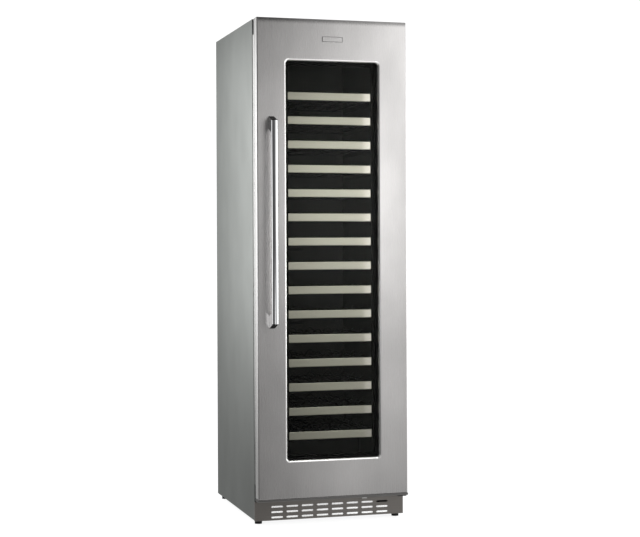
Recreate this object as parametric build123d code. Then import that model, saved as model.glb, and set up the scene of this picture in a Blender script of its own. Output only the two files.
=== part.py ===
from build123d import *
import math
import os

os.makedirs("parts", exist_ok=True)

# A tall free-standing wine cooler. Millimetres, +Z up, the front faces -Y, and the origin is on the
# floor at the centre of the whole outline. Depths are counted from the door's front plane to the back.

# ---- driving dimensions --------------------------------------------------------------------------
WIDTH = 595.0
HEIGHT = 1925.5
CABINET_FRONT = 71.5
CABINET_REAR = 723.0
HANDLE_FRONT = -63.0
DEPTH_CENTRE = (CABINET_REAR + HANDLE_FRONT) / 2

SHEET = 1.2
BASE_BOTTOM = 16.0
FOOT_HEIGHT = 14.0

CAVITY_HALF_WIDTH = 245.0
CAVITY_FLOOR = 178.0
CAVITY_CEILING = 1842.0
CAVITY_REAR = 668.0
STEP_FRONT = 450.0
STEP_HEIGHT = 297.0
LINER = 1.5

MACHINE_FRONT = 500.0
MACHINE_TOP = 250.0
FOAM_BOTTOM = 100.0
FRAME_FRONT = 56.4
FRAME_TOP = HEIGHT - 6.5

DOOR_BOTTOM = 102.8
DOOR_DEPTH = 45.0
CAP_BOTTOM = 93.7
CAP_PROUD = 1.0
WINDOW_HALF_WIDTH = 182.5
WINDOW_LOW = 247.0
WINDOW_HIGH = 1764.0
WINDOW_CORNER = 11.0
GLASS_DEPTH = 20.0
PANE = 4.0
GLASS_GAP = 12.0
INNER_FRAME = (40.2, 47.0)
INNER_OPENING_HALF_WIDTH = 165.7
INNER_OPENING_HEIGHT = (261.0, 1750.0)
GASKET_REAR = 56.0

HINGE_X = WIDTH / 2 - 10.0
HINGE_DEPTH = 26.0
PIN_RADIUS = 3.95
PIN_BORE_RADIUS = 4.0
BUSH_RADIUS = 8.0

SHELF_COUNT = 15
SHELF_PITCH = 93.72
TOP_SHELF = 1655.0
TRIM_HEIGHT = 31.0
TRIM_DEPTH = 90.0
TRIM_HALF_WIDTH = 236.0
RACK_REAR = 622.0
WIRE = 5.0

HANDLE_X = -242.0
HANDLE_RADIUS = 13.0
HANDLE_LOW = 765.0
HANDLE_HIGH = 1535.0
BRACKET_WIDTH = 22.0
BRACKET_HEIGHT = 50.0
BRACKET_RISE = 17.0

KICK_DEPTH = 57.0
KICK_BOTTOM = 14.0
KICK_TOP = 87.0
SLOT_COLUMNS = 8
SLOT_ROWS = 3
SLOT_PITCH_X = 60.2
SLOT_PITCH_Z = 20.0
SLOT_WIDTH = 46.0
SLOT_HEIGHT = 7.0
LOWEST_SLOT = 25.5

HALF = WIDTH / 2
INSIDE = HALF - SHEET

ARM = 4.0
ARM_X = (262.0, INSIDE - 0.3)
ARM_FRONT = 12.0
TOP_ARM_LOW = HEIGHT - 2.2 - ARM
BOTTOM_ARM_LOW = CAP_BOTTOM - 1.0 - ARM
PIN_LENGTH = 20.0


# ---- helpers -------------------------------------------------------------------------------------
def block(across, depth, height):
    """A box from three (low, high) pairs: across, behind the door's front plane, above the floor."""
    size = [high - low for low, high in (across, depth, height)]
    middle = [(low + high) / 2 for low, high in (across, depth, height)]
    return Pos(middle[0], middle[1] - DEPTH_CENTRE, middle[2]) * Box(*size)


def upright(x, depth, low, high, radius):
    """A vertical cylinder between two heights."""
    return Pos(x, depth - DEPTH_CENTRE, (low + high) / 2) * Cylinder(radius, high - low)


def lying(x, depth_low, depth_high, z, radius):
    """A cylinder that runs from front to back."""
    middle = (depth_low + depth_high) / 2 - DEPTH_CENTRE
    return Pos(x, middle, z) * Rot(90, 0, 0) * Cylinder(radius, depth_high - depth_low)


def crosswise(x_low, x_high, depth, z, radius):
    """A cylinder that runs from side to side."""
    middle = Pos((x_low + x_high) / 2, depth - DEPTH_CENTRE, z)
    return middle * Rot(0, 90, 0) * Cylinder(radius, x_high - x_low)


def rounded_block(half_width, depth, height, corner):
    """A block centred on the cooler, with its four edges along the depth rounded."""
    low, high = height
    outline = RectangleRounded(2 * half_width, high - low, corner)
    solid = extrude(Plane.XZ * outline, amount=depth[1] - depth[0], dir=(0, 1, 0))
    return Pos(0, depth[0] - DEPTH_CENTRE, (low + high) / 2) * solid


def ring(outer_half, outer_z, inner_half, inner_z, depth, corner=0.0):
    """A rectangular frame that lies flat against the door or the cabinet front."""
    outer = block((-outer_half, outer_half), depth, outer_z)
    if corner:
        return outer - rounded_block(inner_half, (depth[0] - 1, depth[1] + 1), inner_z, corner)
    return outer - block((-inner_half, inner_half), (depth[0] - 1, depth[1] + 1), inner_z)


def both_sides(low, high):
    """The two (low, high) pairs at the right and at the left of the centre."""
    return [(low, high), (-high, -low)]


def save(name, *solids):
    """Writes one node."""
    shape = solids[0] if len(solids) == 1 else Compound(list(solids))
    export_step(shape, f"parts/{name}.step")


# ---- cabinet shell -------------------------------------------------------------------------------
RETURN = 14.0
BASE_REAR = CABINET_REAR - 2.2
BACK_SHEET = (CABINET_REAR - 2.2, CABINET_REAR - SHEET)
RIB_COUNT = 5
RIB_PITCH = 110.0
RIB_HEIGHT = (330.0, 1840.0)
FOOT_RADIUS = 14.0
FOOT_STEM = 5.0
FOOT_X = 276.0
FOOT_PLACES = {
    "foot_front_left": (-FOOT_X, 92.0),
    "foot_front_right": (FOOT_X, 92.0),
    "foot_rear_left": (-FOOT_X, 672.0),
    "foot_rear_right": (FOOT_X, 672.0),
}


def side_panel(side):
    """A folded steel side with a return at the front and at the back."""
    outer, inner = side * HALF, side * INSIDE
    fold = side * (HALF - RETURN)
    height = (BASE_BOTTOM, HEIGHT)
    panel = block(sorted((inner, outer)), (CABINET_FRONT, CABINET_REAR), height)
    panel += block(sorted((fold, inner)), (CABINET_FRONT, CABINET_FRONT + SHEET), (BASE_BOTTOM, FRAME_TOP))
    panel += block(sorted((fold, inner)), (CABINET_REAR - SHEET, CABINET_REAR), height)
    return panel


def top_panel():
    """The top sheet between the two sides, folded down at the back, and at the front up to the hinge arm."""
    panel = block((-INSIDE, INSIDE), (CABINET_FRONT, CABINET_REAR - SHEET), (HEIGHT - SHEET, HEIGHT))
    panel += block(
        (-HALF + RETURN, HALF - RETURN),
        (CABINET_REAR - SHEET, CABINET_REAR),
        (HEIGHT - RETURN, HEIGHT),
    )
    return panel + block(
        (-INSIDE, ARM_X[0] - 1),
        (CABINET_FRONT, CABINET_FRONT + SHEET),
        (FRAME_TOP, HEIGHT - SHEET),
    )


def back_panel():
    """The sheet that closes the back above the machine compartment, stiffened by upright ribs."""
    panel = block((-INSIDE, INSIDE), BACK_SHEET, (MACHINE_TOP + 2, HEIGHT - SHEET))
    for index in range(RIB_COUNT):
        x = (index - (RIB_COUNT - 1) / 2) * RIB_PITCH
        panel += Pos(x, 0, 0) * rounded_block(9, (BACK_SHEET[1] - 0.2, CABINET_REAR - 0.2), RIB_HEIGHT, 8.9)
    return panel


def cavity(grow=0.0, front=50.0):
    """The hollow of the cabinet with its step over the machine compartment, grown by a wall thickness."""
    across = (-CAVITY_HALF_WIDTH - grow, CAVITY_HALF_WIDTH + grow)
    rear = CAVITY_REAR + grow
    hollow = block(across, (front, rear), (STEP_HEIGHT - grow, CAVITY_CEILING + grow))
    return hollow + block(across, (front, STEP_FRONT + grow), (CAVITY_FLOOR - grow, STEP_HEIGHT + 1))


def insulation_foam():
    """The foam between the shell and the liner, stepped over the machine compartment."""
    foam = block(
        (-INSIDE, INSIDE),
        (CABINET_FRONT + SHEET, CABINET_REAR - 2.2),
        (FOAM_BOTTOM, FRAME_TOP),
    )
    foam -= cavity(LINER)
    machine = block((-INSIDE, INSIDE), (MACHINE_FRONT, CABINET_REAR), (0, MACHINE_TOP + 2))
    return foam - machine


def inner_liner():
    """The thin plastic tub that lines the cavity."""
    shell = cavity(LINER, CABINET_FRONT) - cavity()
    return shell


def front_frame():
    """The black moulded frame that the gasket closes against."""
    return ring(
        INSIDE - 1,
        (FOAM_BOTTOM - 6, FRAME_TOP),
        CAVITY_HALF_WIDTH,
        (CAVITY_FLOOR, CAVITY_CEILING),
        (FRAME_FRONT, CABINET_FRONT),
    )


def base_tray():
    """The floor sheet of the cabinet, with a fold up at each side and a hole for each foot's stem."""
    tray = block(
        (-INSIDE, INSIDE),
        (CABINET_FRONT + SHEET, BASE_REAR),
        (BASE_BOTTOM, BASE_BOTTOM + 2),
    )
    for across in both_sides(INSIDE - 2, INSIDE):
        tray += block(across, (CABINET_FRONT + SHEET, BASE_REAR), (BASE_BOTTOM, BASE_BOTTOM + 30))
    for x, depth in FOOT_PLACES.values():
        tray -= upright(x, depth, BASE_BOTTOM - 1, BASE_BOTTOM + 3, FOOT_STEM + 0.6)
    return tray


# ---- feet ----------------------------------------------------------------------------------------

def foot(x, depth):
    """A levelling foot: a round pad under a threaded stem."""
    pad = upright(x, depth, 0, FOOT_HEIGHT, FOOT_RADIUS)
    return pad + upright(x, depth, FOOT_HEIGHT - 1, FOOT_HEIGHT + 42, FOOT_STEM)


# ---- inside the cavity ---------------------------------------------------------------------------
RUNNER = 6.0
DUCT_FRONT = 636.0
DUCT_HALF_WIDTH = 190.0
DUCT_HEIGHT = (330.0, 1800.0)
CIRCULATION_FAN_Z = 1620.0
CIRCULATION_FAN_RADIUS = 48.0


def shelf_top(index):
    """The top edge of a shelf's trim, counted from the top shelf."""
    return TOP_SHELF - SHELF_PITCH * index


def shelf_runners():
    """Two rails on the liner's walls under every shelf."""
    rails = []
    for index in range(SHELF_COUNT):
        top = shelf_top(index) - TRIM_HEIGHT + 5
        for across in both_sides(CAVITY_HALF_WIDTH - 9, CAVITY_HALF_WIDTH):
            rails.append(block(across, (TRIM_DEPTH + 14, RACK_REAR), (top - RUNNER, top)))
    return rails


def shelf_trim(top):
    """The folded steel strip across the shelf's front."""
    low = top - TRIM_HEIGHT
    across = (-TRIM_HALF_WIDTH, TRIM_HALF_WIDTH)
    trim = block(across, (TRIM_DEPTH, TRIM_DEPTH + SHEET), (low, top))
    trim += block(across, (TRIM_DEPTH, TRIM_DEPTH + 9), (top - SHEET, top))
    trim += block(across, (TRIM_DEPTH, TRIM_DEPTH + 9), (low, low + SHEET))
    return trim


LENGTHWISE_WIRES = 11
CROSS_BARS = 4


def shelf_rack(top):
    """The welded wire rack that the bottles lie on: lengthwise wires on cross bars."""
    bar_z = top - TRIM_HEIGHT + 5.3 + WIRE / 2
    wire_z = bar_z + WIRE * 0.8
    reach = TRIM_HALF_WIDTH + 2.0
    front = TRIM_DEPTH + SHEET + 0.4
    rack = None
    for index in range(LENGTHWISE_WIRES):
        x = -reach + WIRE + index * 2 * (reach - WIRE) / (LENGTHWISE_WIRES - 1)
        wire = lying(x, front, RACK_REAR, wire_z, WIRE / 2)
        rack = wire if rack is None else rack + wire
    for index in range(CROSS_BARS):
        depth = front + 16 + index * (RACK_REAR - front - 26) / (CROSS_BARS - 1)
        rack += crosswise(-reach, reach, depth, bar_z, WIRE / 2)
    return rack


def air_duct_cover():
    """The shallow tray on the back wall that leads the cold air, with a fan opening and outlet slots."""
    across = (-DUCT_HALF_WIDTH, DUCT_HALF_WIDTH)
    cover = block(across, (DUCT_FRONT, CAVITY_REAR), DUCT_HEIGHT)
    hollow = (DUCT_HEIGHT[0] + 2, DUCT_HEIGHT[1] - 2)
    cover -= block((across[0] + 2, across[1] - 2), (DUCT_FRONT + 2, CAVITY_REAR + 1), hollow)
    cover -= lying(0, DUCT_FRONT - 1, DUCT_FRONT + 3, CIRCULATION_FAN_Z, CIRCULATION_FAN_RADIUS + 4)
    for index in range(7):
        z = 420 + index * 155
        cover -= block((-60, 60), (DUCT_FRONT - 1, DUCT_FRONT + 3), (z, z + 10))
    return cover


def fan_blades(x, depth, z, radius, thickness, blade_count):
    """A fan wheel on a hub that turns about a front-to-back axis."""
    wheel = lying(x, depth, depth + thickness, z, radius * 0.3)
    for index in range(blade_count):
        angle = 360 / blade_count * index
        blade = Pos(radius * 0.62, 0, 0) * Rot(24, 0, 0) * Box(radius * 0.72, 2.0, radius * 0.5)
        wheel += Pos(x, depth + thickness / 2 - DEPTH_CENTRE, z) * Rot(0, angle, 0) * blade
    return wheel


def evaporator():
    """The cold plate behind the duct cover, with its tubes."""
    plate = block((-150, 150), (CAVITY_REAR - 3, CAVITY_REAR - 1), (700, 1300))
    for index in range(9):
        plate += crosswise(-140, 140, CAVITY_REAR - 6.5, 730 + index * 67, 4)
    return plate


CONTROL_HEIGHT = (1796.0, CAVITY_CEILING)
CONTROL_FRONT = 84.0
BUTTON_RADIUS = 6.0
BUTTON_Z = 1814.0
BUTTON_PLACES = {"button_power": -75.0, "button_light": -45.0, "button_down": 45.0, "button_up": 75.0}


def control_housing():
    """The control box under the cavity's ceiling, with a pocket for each button."""
    box = block((-120, 120), (CONTROL_FRONT, CONTROL_FRONT + 46), CONTROL_HEIGHT)
    for x in BUTTON_PLACES.values():
        box -= lying(x, CONTROL_FRONT - 1, CONTROL_FRONT + 8, BUTTON_Z, BUTTON_RADIUS + 0.4)
    return box


def button(x):
    """A round push button that stands a little out of the control box."""
    return lying(x, CONTROL_FRONT - 2, CONTROL_FRONT + 6, BUTTON_Z, BUTTON_RADIUS)


def led_strip():
    """The lamp cover along the ceiling behind the control box."""
    depth = (CONTROL_FRONT + 50, CONTROL_FRONT + 62)
    return block((-150, 150), depth, (CAVITY_CEILING - 6, CAVITY_CEILING))


# ---- machine compartment -------------------------------------------------------------------------
COMPRESSOR_X = 150.0
COMPRESSOR_DEPTH = 612.0
COMPRESSOR_RADIUS = 78.0
CONDENSER_X = (-250.0, -70.0)
MACHINE_FAN_X = -160.0
MACHINE_FAN_Z = 118.0
MACHINE_FAN_RADIUS = 70.0
INLET_X = -262.0
INLET_Z = 46.0
INLET_RADIUS = 9.0


def compressor():
    """The domed pump can on its foot plate."""
    low = BASE_BOTTOM + 10
    can = upright(COMPRESSOR_X, COMPRESSOR_DEPTH, low, low + 160, COMPRESSOR_RADIUS)
    can = fillet(can.edges().filter_by(GeomType.CIRCLE), 26)
    plate = block(
        (COMPRESSOR_X - 84, COMPRESSOR_X + 84),
        (COMPRESSOR_DEPTH - 60, COMPRESSOR_DEPTH + 60),
        (BASE_BOTTOM + 2, low + 6),
    )
    return can + plate


def condenser():
    """The finned coil beside the pump: plates joined by tubes."""
    coil = None
    fin_count = 13
    for index in range(fin_count):
        x = CONDENSER_X[0] + index * (CONDENSER_X[1] - CONDENSER_X[0] - 1.5) / (fin_count - 1)
        fin = block((x, x + 1.5), (520, 570), (BASE_BOTTOM + 2, 210))
        coil = fin if coil is None else coil + fin
    for row in range(5):
        coil += crosswise(CONDENSER_X[0] - 8, CONDENSER_X[1] + 8, 545, 45 + row * 36, 4)
    return coil


def fan_shroud():
    """The plate with a round opening that holds the condenser fan."""
    plate = block((-250, -70), (578, 582), (BASE_BOTTOM + 2, 212))
    plate -= lying(MACHINE_FAN_X, 577, 583, MACHINE_FAN_Z, MACHINE_FAN_RADIUS + 5)
    return plate


def drip_tray():
    """The open pan above the pump that takes the melt water."""
    pan = block((70, 230), (540, 690), (208, 240))
    return pan - block((72, 228), (542, 688), (210, 241))


def rear_cover():
    """The louvred plate that closes the machine compartment."""
    depth = BACK_SHEET
    plate = block((-INSIDE, INSIDE), depth, (BASE_BOTTOM + 3, MACHINE_TOP))
    for column in range(7):
        x = -225 + column * 75
        for row in range(6):
            z = 70 + row * 26
            plate -= block((x - 26, x + 26), (depth[0] - 1, depth[1] + 1), (z, z + 7))
    return plate - lying(INLET_X, depth[0] - 1, depth[1] + 1, INLET_Z, INLET_RADIUS + 0.4)


def power_inlet():
    """The grommet in the rear cover that the mains lead enters through."""
    body = lying(INLET_X, CABINET_REAR - 12, CABINET_REAR, INLET_Z, INLET_RADIUS)
    body += lying(INLET_X, CABINET_REAR - 5.2, CABINET_REAR - 2.2, INLET_Z, INLET_RADIUS + 3)
    return body - lying(INLET_X, CABINET_REAR - 13, CABINET_REAR + 1, INLET_Z, 4)


# ---- plinth --------------------------------------------------------------------------------------
def slot(x, z, width=SLOT_WIDTH, height=SLOT_HEIGHT):
    """The cutter for one slot with round ends."""
    outline = SlotOverall(width, height)
    cutter = extrude(Plane.XZ * outline, amount=6, both=True)
    return Pos(x, KICK_DEPTH - DEPTH_CENTRE, z) * cutter


def slot_places():
    """The centre of every slot: columns across, rows upwards."""
    places = []
    for column in range(SLOT_COLUMNS):
        for row in range(SLOT_ROWS):
            x = (column - (SLOT_COLUMNS - 1) / 2) * SLOT_PITCH_X
            places.append((x, LOWEST_SLOT + row * SLOT_PITCH_Z))
    return places


def kick_grille():
    """The slotted plinth plate with an end fold at each side."""
    edge = HALF - 0.3
    plate = block((-edge, edge), (KICK_DEPTH, KICK_DEPTH + SHEET), (KICK_BOTTOM, KICK_TOP))
    for x, z in slot_places():
        plate -= slot(x, z)
    plate -= slot(140, 81, 20, 3)
    for across in both_sides(edge - SHEET, edge):
        plate += block(across, (KICK_DEPTH, CABINET_FRONT), (KICK_BOTTOM, KICK_TOP))
    return plate


def dust_filter():
    """The white filter pad behind the plinth, cut away at its upper corner on the hinge side."""
    front = KICK_DEPTH + SHEET + 0.3
    pad = block((-258, 258), (front, front + 5), (KICK_BOTTOM + 4, KICK_TOP - 2))
    return pad - block((181, 300), (front - 1, front + 6), (58, KICK_TOP))


# ---- hinges --------------------------------------------------------------------------------------
def hinge_arm(low, reach):
    """A flat arm that reaches forwards past the pin."""
    return block(ARM_X, (ARM_FRONT, reach), (low, low + ARM))


def hinge_bracket_top():
    """The upper hinge arm on the cabinet's top, with its pin hanging down."""
    arm = hinge_arm(TOP_ARM_LOW, 150)
    return arm + upright(HINGE_X, HINGE_DEPTH, TOP_ARM_LOW - PIN_LENGTH, TOP_ARM_LOW + 1, PIN_RADIUS)


def hinge_bracket_bottom():
    """The lower hinge arm under the door, with its pin standing up."""
    arm = hinge_arm(BOTTOM_ARM_LOW, FRAME_FRONT + 12)
    plate_depth = (FRAME_FRONT + 8, FRAME_FRONT + 12)
    foot_plate = block((ARM_X[0], INSIDE - 1), plate_depth, (40, BOTTOM_ARM_LOW + 1))
    top = BOTTOM_ARM_LOW + ARM
    return arm + foot_plate + upright(HINGE_X, HINGE_DEPTH, top - 1, top + PIN_LENGTH, PIN_RADIUS)


# ---- door ----------------------------------------------------------------------------------------
NOTCH_X = 258.0
NOTCH_DEPTH = 9.0
NOTCH_LOW = TOP_ARM_LOW - 1.0
GLASS_HALF_WIDTH = 198.0
GLASS_HEIGHT = (231.0, 1780.0)
SPACER_HALF_WIDTH = 178.0
SPACER_HEIGHT = (254.0, 1757.0)
BAR_DEPTH = HANDLE_FRONT + HANDLE_RADIUS


def hinge_notch():
    """The room in the door's top for the upper hinge arm."""
    return block((NOTCH_X, HALF + 5), (NOTCH_DEPTH, 60), (NOTCH_LOW, HEIGHT + 5))


def door_skin():
    """The stainless front: a pan with returns on three sides and a flanged window."""
    height = (DOOR_BOTTOM, HEIGHT)
    pan = block((-HALF, HALF), (0, DOOR_DEPTH), height)
    pan -= block((-INSIDE, INSIDE), (SHEET, DOOR_DEPTH + 1), (DOOR_BOTTOM - 1, HEIGHT - SHEET))
    window = (WINDOW_LOW, WINDOW_HIGH)
    grown = (WINDOW_LOW - SHEET, WINDOW_HIGH + SHEET)
    pan += rounded_block(WINDOW_HALF_WIDTH + SHEET, (0, GLASS_DEPTH), grown, WINDOW_CORNER + SHEET)
    pan -= rounded_block(WINDOW_HALF_WIDTH, (-1, GLASS_DEPTH + 1), window, WINDOW_CORNER)
    return pan - hinge_notch()


def door_foam():
    """The foam core of the door, with room for the glazing and for the hinge pins."""
    core = block((-INSIDE, INSIDE), (SHEET, INNER_FRAME[0]), (DOOR_BOTTOM, HEIGHT - SHEET))
    core -= rounded_block(
        WINDOW_HALF_WIDTH + SHEET,
        (0, DOOR_DEPTH),
        (WINDOW_LOW - SHEET, WINDOW_HIGH + SHEET),
        WINDOW_CORNER + SHEET,
    )
    core -= block((-GLASS_HALF_WIDTH, GLASS_HALF_WIDTH), (GLASS_DEPTH, DOOR_DEPTH), GLASS_HEIGHT)
    pin_room = block((HINGE_X - BUSH_RADIUS, HALF), (HINGE_DEPTH - BUSH_RADIUS, DOOR_DEPTH), (0, HEIGHT))
    return core - hinge_notch() - pin_room


def glass_panes():
    """The outer and the inner pane."""
    across = (-GLASS_HALF_WIDTH, GLASS_HALF_WIDTH)
    panes = []
    for front in (GLASS_DEPTH, GLASS_DEPTH + PANE + GLASS_GAP):
        panes.append(block(across, (front, front + PANE), GLASS_HEIGHT))
    return panes


def glass_spacer():
    """The bar that holds the two panes apart."""
    depth = (GLASS_DEPTH + PANE, GLASS_DEPTH + PANE + GLASS_GAP)
    return ring(GLASS_HALF_WIDTH - 4, (235, 1776), SPACER_HALF_WIDTH, SPACER_HEIGHT, depth)


def door_inner_frame():
    """The black moulding that closes the door's back around the glass."""
    frame = ring(
        INSIDE - 0.5,
        (DOOR_BOTTOM + 3, NOTCH_LOW - 1),
        INNER_OPENING_HALF_WIDTH,
        INNER_OPENING_HEIGHT,
        INNER_FRAME,
        8,
    )
    pin_room = block((HINGE_X - BUSH_RADIUS - 1, HALF), (30, DOOR_DEPTH), (0, DOOR_BOTTOM + 24))
    return frame - pin_room


def door_gasket():
    """The magnetic seal on the door's back."""
    return ring(286, (154, 1865), 272, (168, 1851), (INNER_FRAME[1], GASKET_REAR))


def door_bottom_cap():
    """The end strip along the door's lower edge, with the bore for the lower hinge pin."""
    edge = HALF + CAP_PROUD
    cap = block((-edge, edge), (-CAP_PROUD, DOOR_DEPTH), (CAP_BOTTOM, DOOR_BOTTOM))
    cap += upright(HINGE_X, HINGE_DEPTH, DOOR_BOTTOM - 1, DOOR_BOTTOM + 12, BUSH_RADIUS)
    return cap - upright(HINGE_X, HINGE_DEPTH, CAP_BOTTOM - 1, DOOR_BOTTOM + 13, PIN_BORE_RADIUS)


def door_top_bush():
    """The bush that the upper hinge pin turns in."""
    bush = upright(HINGE_X, HINGE_DEPTH, NOTCH_LOW - PIN_LENGTH, NOTCH_LOW, BUSH_RADIUS)
    return bush - upright(HINGE_X, HINGE_DEPTH, NOTCH_LOW - PIN_LENGTH - 1, NOTCH_LOW + 1, PIN_BORE_RADIUS)


def handle_bar():
    """The round grip."""
    return upright(HANDLE_X, BAR_DEPTH, HANDLE_LOW, HANDLE_HIGH, HANDLE_RADIUS)


def bracket(bar_z, root_z):
    """A slanted post from the grip to the door, hollowed to fit the grip."""
    half = BRACKET_HEIGHT / 2
    front, back = BAR_DEPTH - DEPTH_CENTRE, -DEPTH_CENTRE
    outline = Polyline(
        (front, bar_z - half),
        (back, root_z - half),
        (back, root_z + half),
        (front, bar_z + half),
        close=True,
    )
    post = extrude(Plane.YZ * make_face(outline), amount=BRACKET_WIDTH / 2, both=True)
    return Pos(HANDLE_X, 0, 0) * post


def handle_brackets():
    """The two posts of the handle, at the ends of the grip."""
    grip = upright(HANDLE_X, BAR_DEPTH, HANDLE_LOW - 50, HANDLE_HIGH + 50, HANDLE_RADIUS)
    top = HANDLE_HIGH - BRACKET_HEIGHT / 2 - 1
    low = HANDLE_LOW + BRACKET_HEIGHT / 2 + 1
    return [bracket(top, top + BRACKET_RISE) - grip, bracket(low, low - BRACKET_RISE) - grip]


def badge():
    """The blank plate above the window."""
    return block((-41.5, 41.5), (-1.5, 0), (1838, 1860))


def screw_head(radius, height):
    """A flat screw head that faces up, with a cross recess to half its height."""
    head = Pos(0, 0, height / 2) * Cylinder(radius, height)
    for turn in (0, 90):
        head -= Pos(0, 0, height) * Rot(0, 0, turn) * Box(1.4 * radius, 0.3 * radius, height)
    return head


def screws():
    """The cabinet's cross-head screws: two in the upper hinge arm and four in the rear cover."""
    heads = []
    for depth in (95, 130):
        heads.append(Pos(280, depth - DEPTH_CENTRE, TOP_ARM_LOW + ARM) * screw_head(4, 0.9))
    for x in (-270, -90, 90, 270):
        place = Pos(x, BACK_SHEET[1] - DEPTH_CENTRE, MACHINE_TOP - 8)
        heads.append(place * Rot(-90, 0, 0) * screw_head(3.5, 1.1))
    return heads


# ---- nodes ---------------------------------------------------------------------------------------
SINGLE_SOLIDS = (
    top_panel,
    back_panel,
    base_tray,
    insulation_foam,
    inner_liner,
    front_frame,
    air_duct_cover,
    evaporator,
    compressor,
    condenser,
    fan_shroud,
    drip_tray,
    rear_cover,
    control_housing,
    led_strip,
    kick_grille,
    dust_filter,
    hinge_bracket_top,
    hinge_bracket_bottom,
    power_inlet,
    door_skin,
    door_foam,
    door_inner_frame,
    glass_spacer,
    door_gasket,
    door_bottom_cap,
    door_top_bush,
    handle_bar,
    badge,
)
GROUPS = (shelf_runners, glass_panes, handle_brackets, screws)

for make in SINGLE_SOLIDS:
    save(make.__name__, make())
for make in GROUPS:
    save(make.__name__, *make())

save("side_panel_left", side_panel(-1))
save("side_panel_right", side_panel(1))
for name, (x, depth) in FOOT_PLACES.items():
    save(name, foot(x, depth))
for name, x in BUTTON_PLACES.items():
    save(name, button(x))
for index in range(SHELF_COUNT):
    top = shelf_top(index)
    save(f"shelf_{index + 1:02d}", shelf_trim(top), shelf_rack(top))

save(
    "circulation_fan",
    fan_blades(0, DUCT_FRONT + 6, CIRCULATION_FAN_Z, CIRCULATION_FAN_RADIUS, 14, 7),
)
save("condenser_fan", fan_blades(MACHINE_FAN_X, 586, MACHINE_FAN_Z, MACHINE_FAN_RADIUS, 24, 5))
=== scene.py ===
"""The looks of a tall wine cooler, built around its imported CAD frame. Metres, +Z up, the door faces -Y."""

import math

import bmesh
import bpy
from mathutils import Matrix, Vector

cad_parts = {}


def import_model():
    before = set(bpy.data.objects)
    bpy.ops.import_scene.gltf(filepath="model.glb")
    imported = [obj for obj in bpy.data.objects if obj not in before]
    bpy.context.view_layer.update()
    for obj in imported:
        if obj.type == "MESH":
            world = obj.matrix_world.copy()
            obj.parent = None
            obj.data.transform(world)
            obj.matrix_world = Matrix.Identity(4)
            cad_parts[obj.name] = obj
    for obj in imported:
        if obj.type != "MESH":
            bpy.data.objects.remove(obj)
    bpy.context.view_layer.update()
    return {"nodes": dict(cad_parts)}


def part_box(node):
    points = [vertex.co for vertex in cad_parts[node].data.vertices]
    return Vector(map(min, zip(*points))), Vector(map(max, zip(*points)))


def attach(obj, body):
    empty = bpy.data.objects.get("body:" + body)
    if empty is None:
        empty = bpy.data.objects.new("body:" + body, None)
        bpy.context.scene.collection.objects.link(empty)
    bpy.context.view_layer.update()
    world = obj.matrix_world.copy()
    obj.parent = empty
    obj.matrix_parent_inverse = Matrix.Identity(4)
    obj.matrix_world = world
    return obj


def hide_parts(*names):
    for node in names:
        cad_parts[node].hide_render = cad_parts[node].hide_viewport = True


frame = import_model()

MM = 0.001

# ---- places read from the frame ------------------------------------------------------------------
DOOR_LOW, DOOR_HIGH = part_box("door_skin")
HALF_WIDTH = DOOR_HIGH.x
FRONT = DOOR_LOW.y
BAR_LOW, BAR_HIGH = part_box("handle_bar")
BADGE_LOW, BADGE_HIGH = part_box("badge")
SHELVES = sorted(name for name in frame["nodes"] if name.startswith("shelf_") and name[6:].isdigit())

# ---- sizes that only the looks need --------------------------------------------------------------
SHEET = 1.2 * MM
CORNER_STEPS = 8
ROLL_STEPS = 8
WELD_REACH = 0.02 * MM

# The door: its rolled outer edge, its window, its notch for the upper hinge, its foam and its end strip.
DOOR_SIDE_RADIUS = 4 * MM
DOOR_TOP_ROLL = 22 * MM
DOOR_TOP_ROLL_DEPTH = 8 * MM
DOOR_CORNER_RADIUS = 3 * MM
WINDOW_HALF_WIDTH = 182.5 * MM
WINDOW_LOW = 247 * MM
WINDOW_HIGH = 1764 * MM
WINDOW_CORNER = 11 * MM
WINDOW_ROLL = 9 * MM
GLASS_DEPTH = 20 * MM
NOTCH_SIDE_GAP = 4 * MM
NOTCH_FRONT_GAP = 3 * MM
NOTCH_DROP = 7.2 * MM
FOAM_GAP = 2 * MM
FOAM_TOP_GAP = 10 * MM
CAP_RADIUS = 3.5 * MM

# The grip, its posts, which meet the door POST_RISE nearer to its ends, and the name plate.
BAR_SIDES = 64
BAR_END_RADIUS = 3.5 * MM
BAR_END_CAP = 3.2 * MM
POST_RISE = 17 * MM
POST_INSET = 26 * MM
POST_HALF_HEIGHT = 25 * MM
POST_HALF_WIDTH = 11 * MM
BADGE_CORNER = 3.5 * MM
BADGE_GROOVE_DEPTH = 0.8 * MM

# A shelf: its front trim and its wire rack.
TRIM_HALF_LENGTH = 236 * MM
TRIM_DEPTH = 9 * MM
TRIM_RADIUS = 2.6 * MM
RACK_SIDE_GAP = 3 * MM
RACK_FRONT_GAP = 12 * MM
WIRE_RADIUS = 2 * MM
LONG_WIRE_RISE = 12 * MM
LONG_WIRE_STAGGER = 4 * MM
CROSS_WIRE_RISE = 9 * MM
BOTTLES_ACROSS = 6
CRADLE_COUNT = 5
CRADLE_RISE = 20 * MM
CRADLE_FRONT_GAP = 30 * MM
CRADLE_BACK_GAP = 15 * MM
CRADLE_STEPS = 12

# The side panels: their outer corners and how far they fold in.
SIDE_RADIUS = 2 * MM
SIDE_FOLD = 14 * MM


# ---- mesh helpers --------------------------------------------------------------------------------
def link_mesh(name, mesh, smooth=True):
    """A new object in the scene with this mesh."""
    for polygon in mesh.polygons:
        polygon.use_smooth = smooth
    piece = bpy.data.objects.new(name, mesh)
    bpy.context.scene.collection.objects.link(piece)
    return piece


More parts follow.
